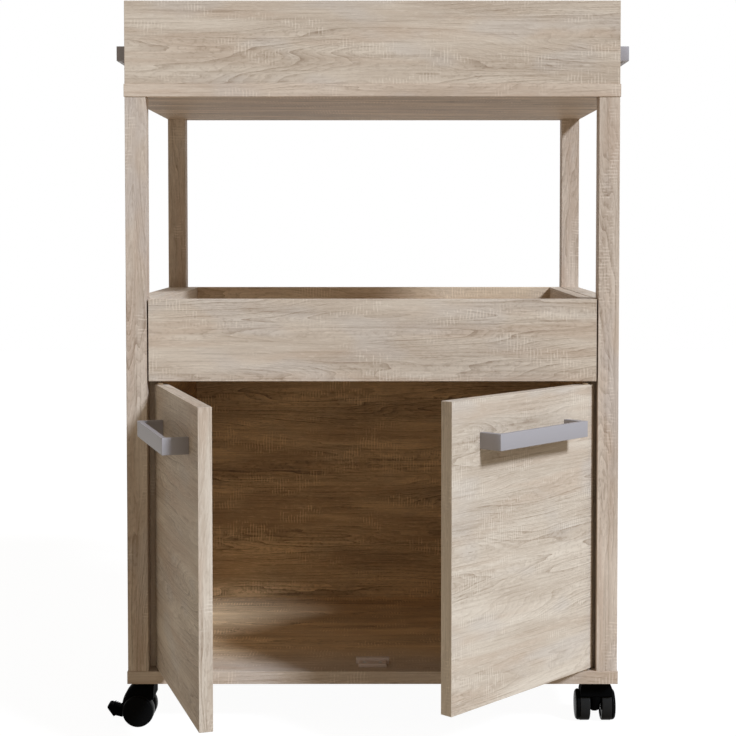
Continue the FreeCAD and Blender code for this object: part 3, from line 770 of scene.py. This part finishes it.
def makeLever():
    pivot, eye = trail + brake["pinOut"], 2 * brake["pin"]
    length, rise, drop, step, toe = (brake[key] for key in ("length", "rise", "drop", "step", "toe"))
    near = wheel["radius"] + brake["wheelGap"] - brake["pinOut"]
    foot = [(near, -drop), (near, step)] + bow((length - toe, rise - brake["toeFall"]), toe, 115, -35, 10)
    foot += [(length * along, -drop * down) for along, down in brake["heel"]]
    pedal = slab("pedal", [(pivot + x, axleRise + z) for x, z in foot], brake["half"])
    roundEdges(pedal, brake["edge"])
    slope = Vector((length * ridge["slopeEnd"] - near, 0, rise - step))
    wide = brake["half"] - ridge["inset"]
    for i in range(ridge["count"]):   # grip ridges across the tread of the pedal
        spot = Vector((pivot + near, 0, axleRise + step)) + slope * (ridge["first"] + ridge["pitch"] * i)
        low = (spot.x - ridge["half"], -wide, spot.z - ridge["root"])
        grip = startBlock("ridge", low, (spot.x + ridge["half"], wide, spot.z + ridge["proud"]))
        bpy.ops.object.mode_set(mode="OBJECT")
        roundEdges(grip, ridge["edge"], 2)
        join(pedal, grip, "UNION")
    root = pivot + near + brake["armSunk"]
    fork = [(root, axleRise - eye), (root, axleRise + step)] + bow((pivot, axleRise), eye, 90, 270, 12)
    for side in (-1, 1):
        arm = slab("arm", fork, (caster["webHalf"] - brake["tongue"] - brake["armGap"]) / 2)
        arm.location.y = side * (brake["tongue"] + caster["webHalf"] + brake["armGap"]) / 2 * mm
        bpy.ops.object.transform_apply(location=True)
        join(pedal, arm, "UNION")
    return pedal


upright = Matrix.Rotation(-quarter, 4, "X")   # a wheel's axle laid along Y
wheelMaster = makeWheel()
hoodMasters = {True: makeHood(True), False: makeHood(False)}
leverMaster = makeLever()
for corner in corners:
    stemSpot, axleSpot = casterSpots(corner)
    heading = math.atan2(axleSpot.y - stemSpot.y, axleSpot.x - stemSpot.x)
    braked = "brake_lever_" + corner in nodes
    spot = Matrix.Translation((stemSpot.x, stemSpot.y, 0)) @ Matrix.Rotation(heading, 4, "Z")
    settle(hoodMasters[braked], "caster_hood_" + corner + "_moulding", spot, plastic["hoodPlastic"],
           "caster_" + corner, "caster_hood_" + corner)
    for letter, facing in (("a", math.pi), ("b", 0)):
        wheelSpot = Matrix.Translation(axleSpot) @ Matrix.Rotation(heading + facing, 4, "Z") @ upright
        node = "caster_wheel_" + letter + "_" + corner
        settle(wheelMaster, node + "_tread", wheelSpot, plastic["wheelPlastic"],
               "wheel_" + letter + "_" + corner, node)
    dress("caster_axle_" + corner, steel)
    if braked:
        node = "brake_lever_" + corner
        settle(leverMaster, node + "_pedal", spot, plastic["hoodPlastic"], node, node)
for master in (wheelMaster, leverMaster, *hoodMasters.values()):
    bpy.data.objects.remove(master)
print("casters made")

# camera where the picture was taken from
cameraView = {"sensor": 36, "focal": 1565.6, "image": 736, "side": 0.00874, "back": 1.9654, "height": 0.63393,
              "pitch": 0.0391, "axisX": 379.39, "axisY": 289.66}
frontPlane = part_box("post_front_left")[0][1]
lens = bpy.data.cameras.new("camera")
lens.sensor_width = cameraView["sensor"]
lens.lens = cameraView["sensor"] * cameraView["focal"] / cameraView["image"]
lens.shift_x = (cameraView["image"] / 2 - cameraView["axisX"]) / cameraView["image"]
lens.shift_y = (cameraView["axisY"] - cameraView["image"] / 2) / cameraView["image"]
camera = bpy.data.objects.new("camera", lens)
camera.location = (cameraView["side"], frontPlane - cameraView["back"], cameraView["height"])
camera.rotation_euler = (quarter - cameraView["pitch"], 0, 0)
scene.collection.objects.link(camera)
scene.camera = camera

# light: one soft key from the upper right front, and a warm even room
lightRig = {"azimuth": 45, "elevation": 36, "key": 3.27, "keyColour": (0.896, 1.0, 1.138), "softness": 10,
            "room": (0.250, 0.209, 0.155)}
sun = bpy.data.lights.new("key", "SUN")
sun.energy = lightRig["key"]
sun.color = lightRig["keyColour"]
sun.angle = math.radians(lightRig["softness"])
keyLamp = bpy.data.objects.new("key", sun)
high, aside = math.radians(lightRig["elevation"]), math.radians(lightRig["azimuth"])
towards = Vector((-math.sin(aside) * math.cos(high), math.cos(aside) * math.cos(high), -math.sin(high)))
keyLamp.rotation_euler = towards.to_track_quat("-Z", "Y").to_euler()
scene.collection.objects.link(keyLamp)


def seenDirectly(start):   # camera, glossy and transmission rays
    names = ("Is Camera Ray", "Is Glossy Ray", "Is Transmission Ray")
    eye, glossy, through = (start.node("LightPath", out=name) for name in names)
    return eye.math("MAXIMUM", glossy).math("MAXIMUM", through)


world = bpy.data.worlds.new("room")
scene.world = world
world.use_nodes = True
tree = world.node_tree
tree.nodes.clear()
start = Wire(tree)
roomColour = seenDirectly(start).blend(lightRig["room"], (1, 1, 1))
back = start.node("Background", {"Color": roomColour, "Strength": 1.0})
tree.links.new(back.socket, tree.nodes.new("ShaderNodeOutputWorld").inputs[0])

# floor that stays white but keeps a faint shadow
floorLook = {"size": 12, "bounce": (0.52, 0.446, 0.335), "paint": (0.9, 0.9, 0.9), "glow": 1.09,
             "glowShare": 0.88}
bpy.ops.object.select_all(action="DESELECT")
bpy.ops.mesh.primitive_plane_add(size=floorLook["size"], location=(0, 0, 0))
floor = bpy.context.object
floor.name = "floor"
floorPaint = bpy.data.materials.new("floorPaint")
floorPaint.use_nodes = True
tree = floorPaint.node_tree
tree.nodes.clear()
start = Wire(tree)
seen = seenDirectly(start)
matt = start.node("BsdfDiffuse", {"Color": seen.blend(floorLook["bounce"], floorLook["paint"])})
glow = start.node("Emission", {"Color": (1, 1, 1, 1), "Strength": floorLook["glow"]})
mixed = start.node("MixShader", {0: seen * floorLook["glowShare"], 1: matt, 2: glow})
tree.links.new(mixed.socket, tree.nodes.new("ShaderNodeOutputMaterial").inputs[0])
floor.data.materials.append(floorPaint)
print("camera, light and floor set")

scene.view_settings.view_transform = "Standard"
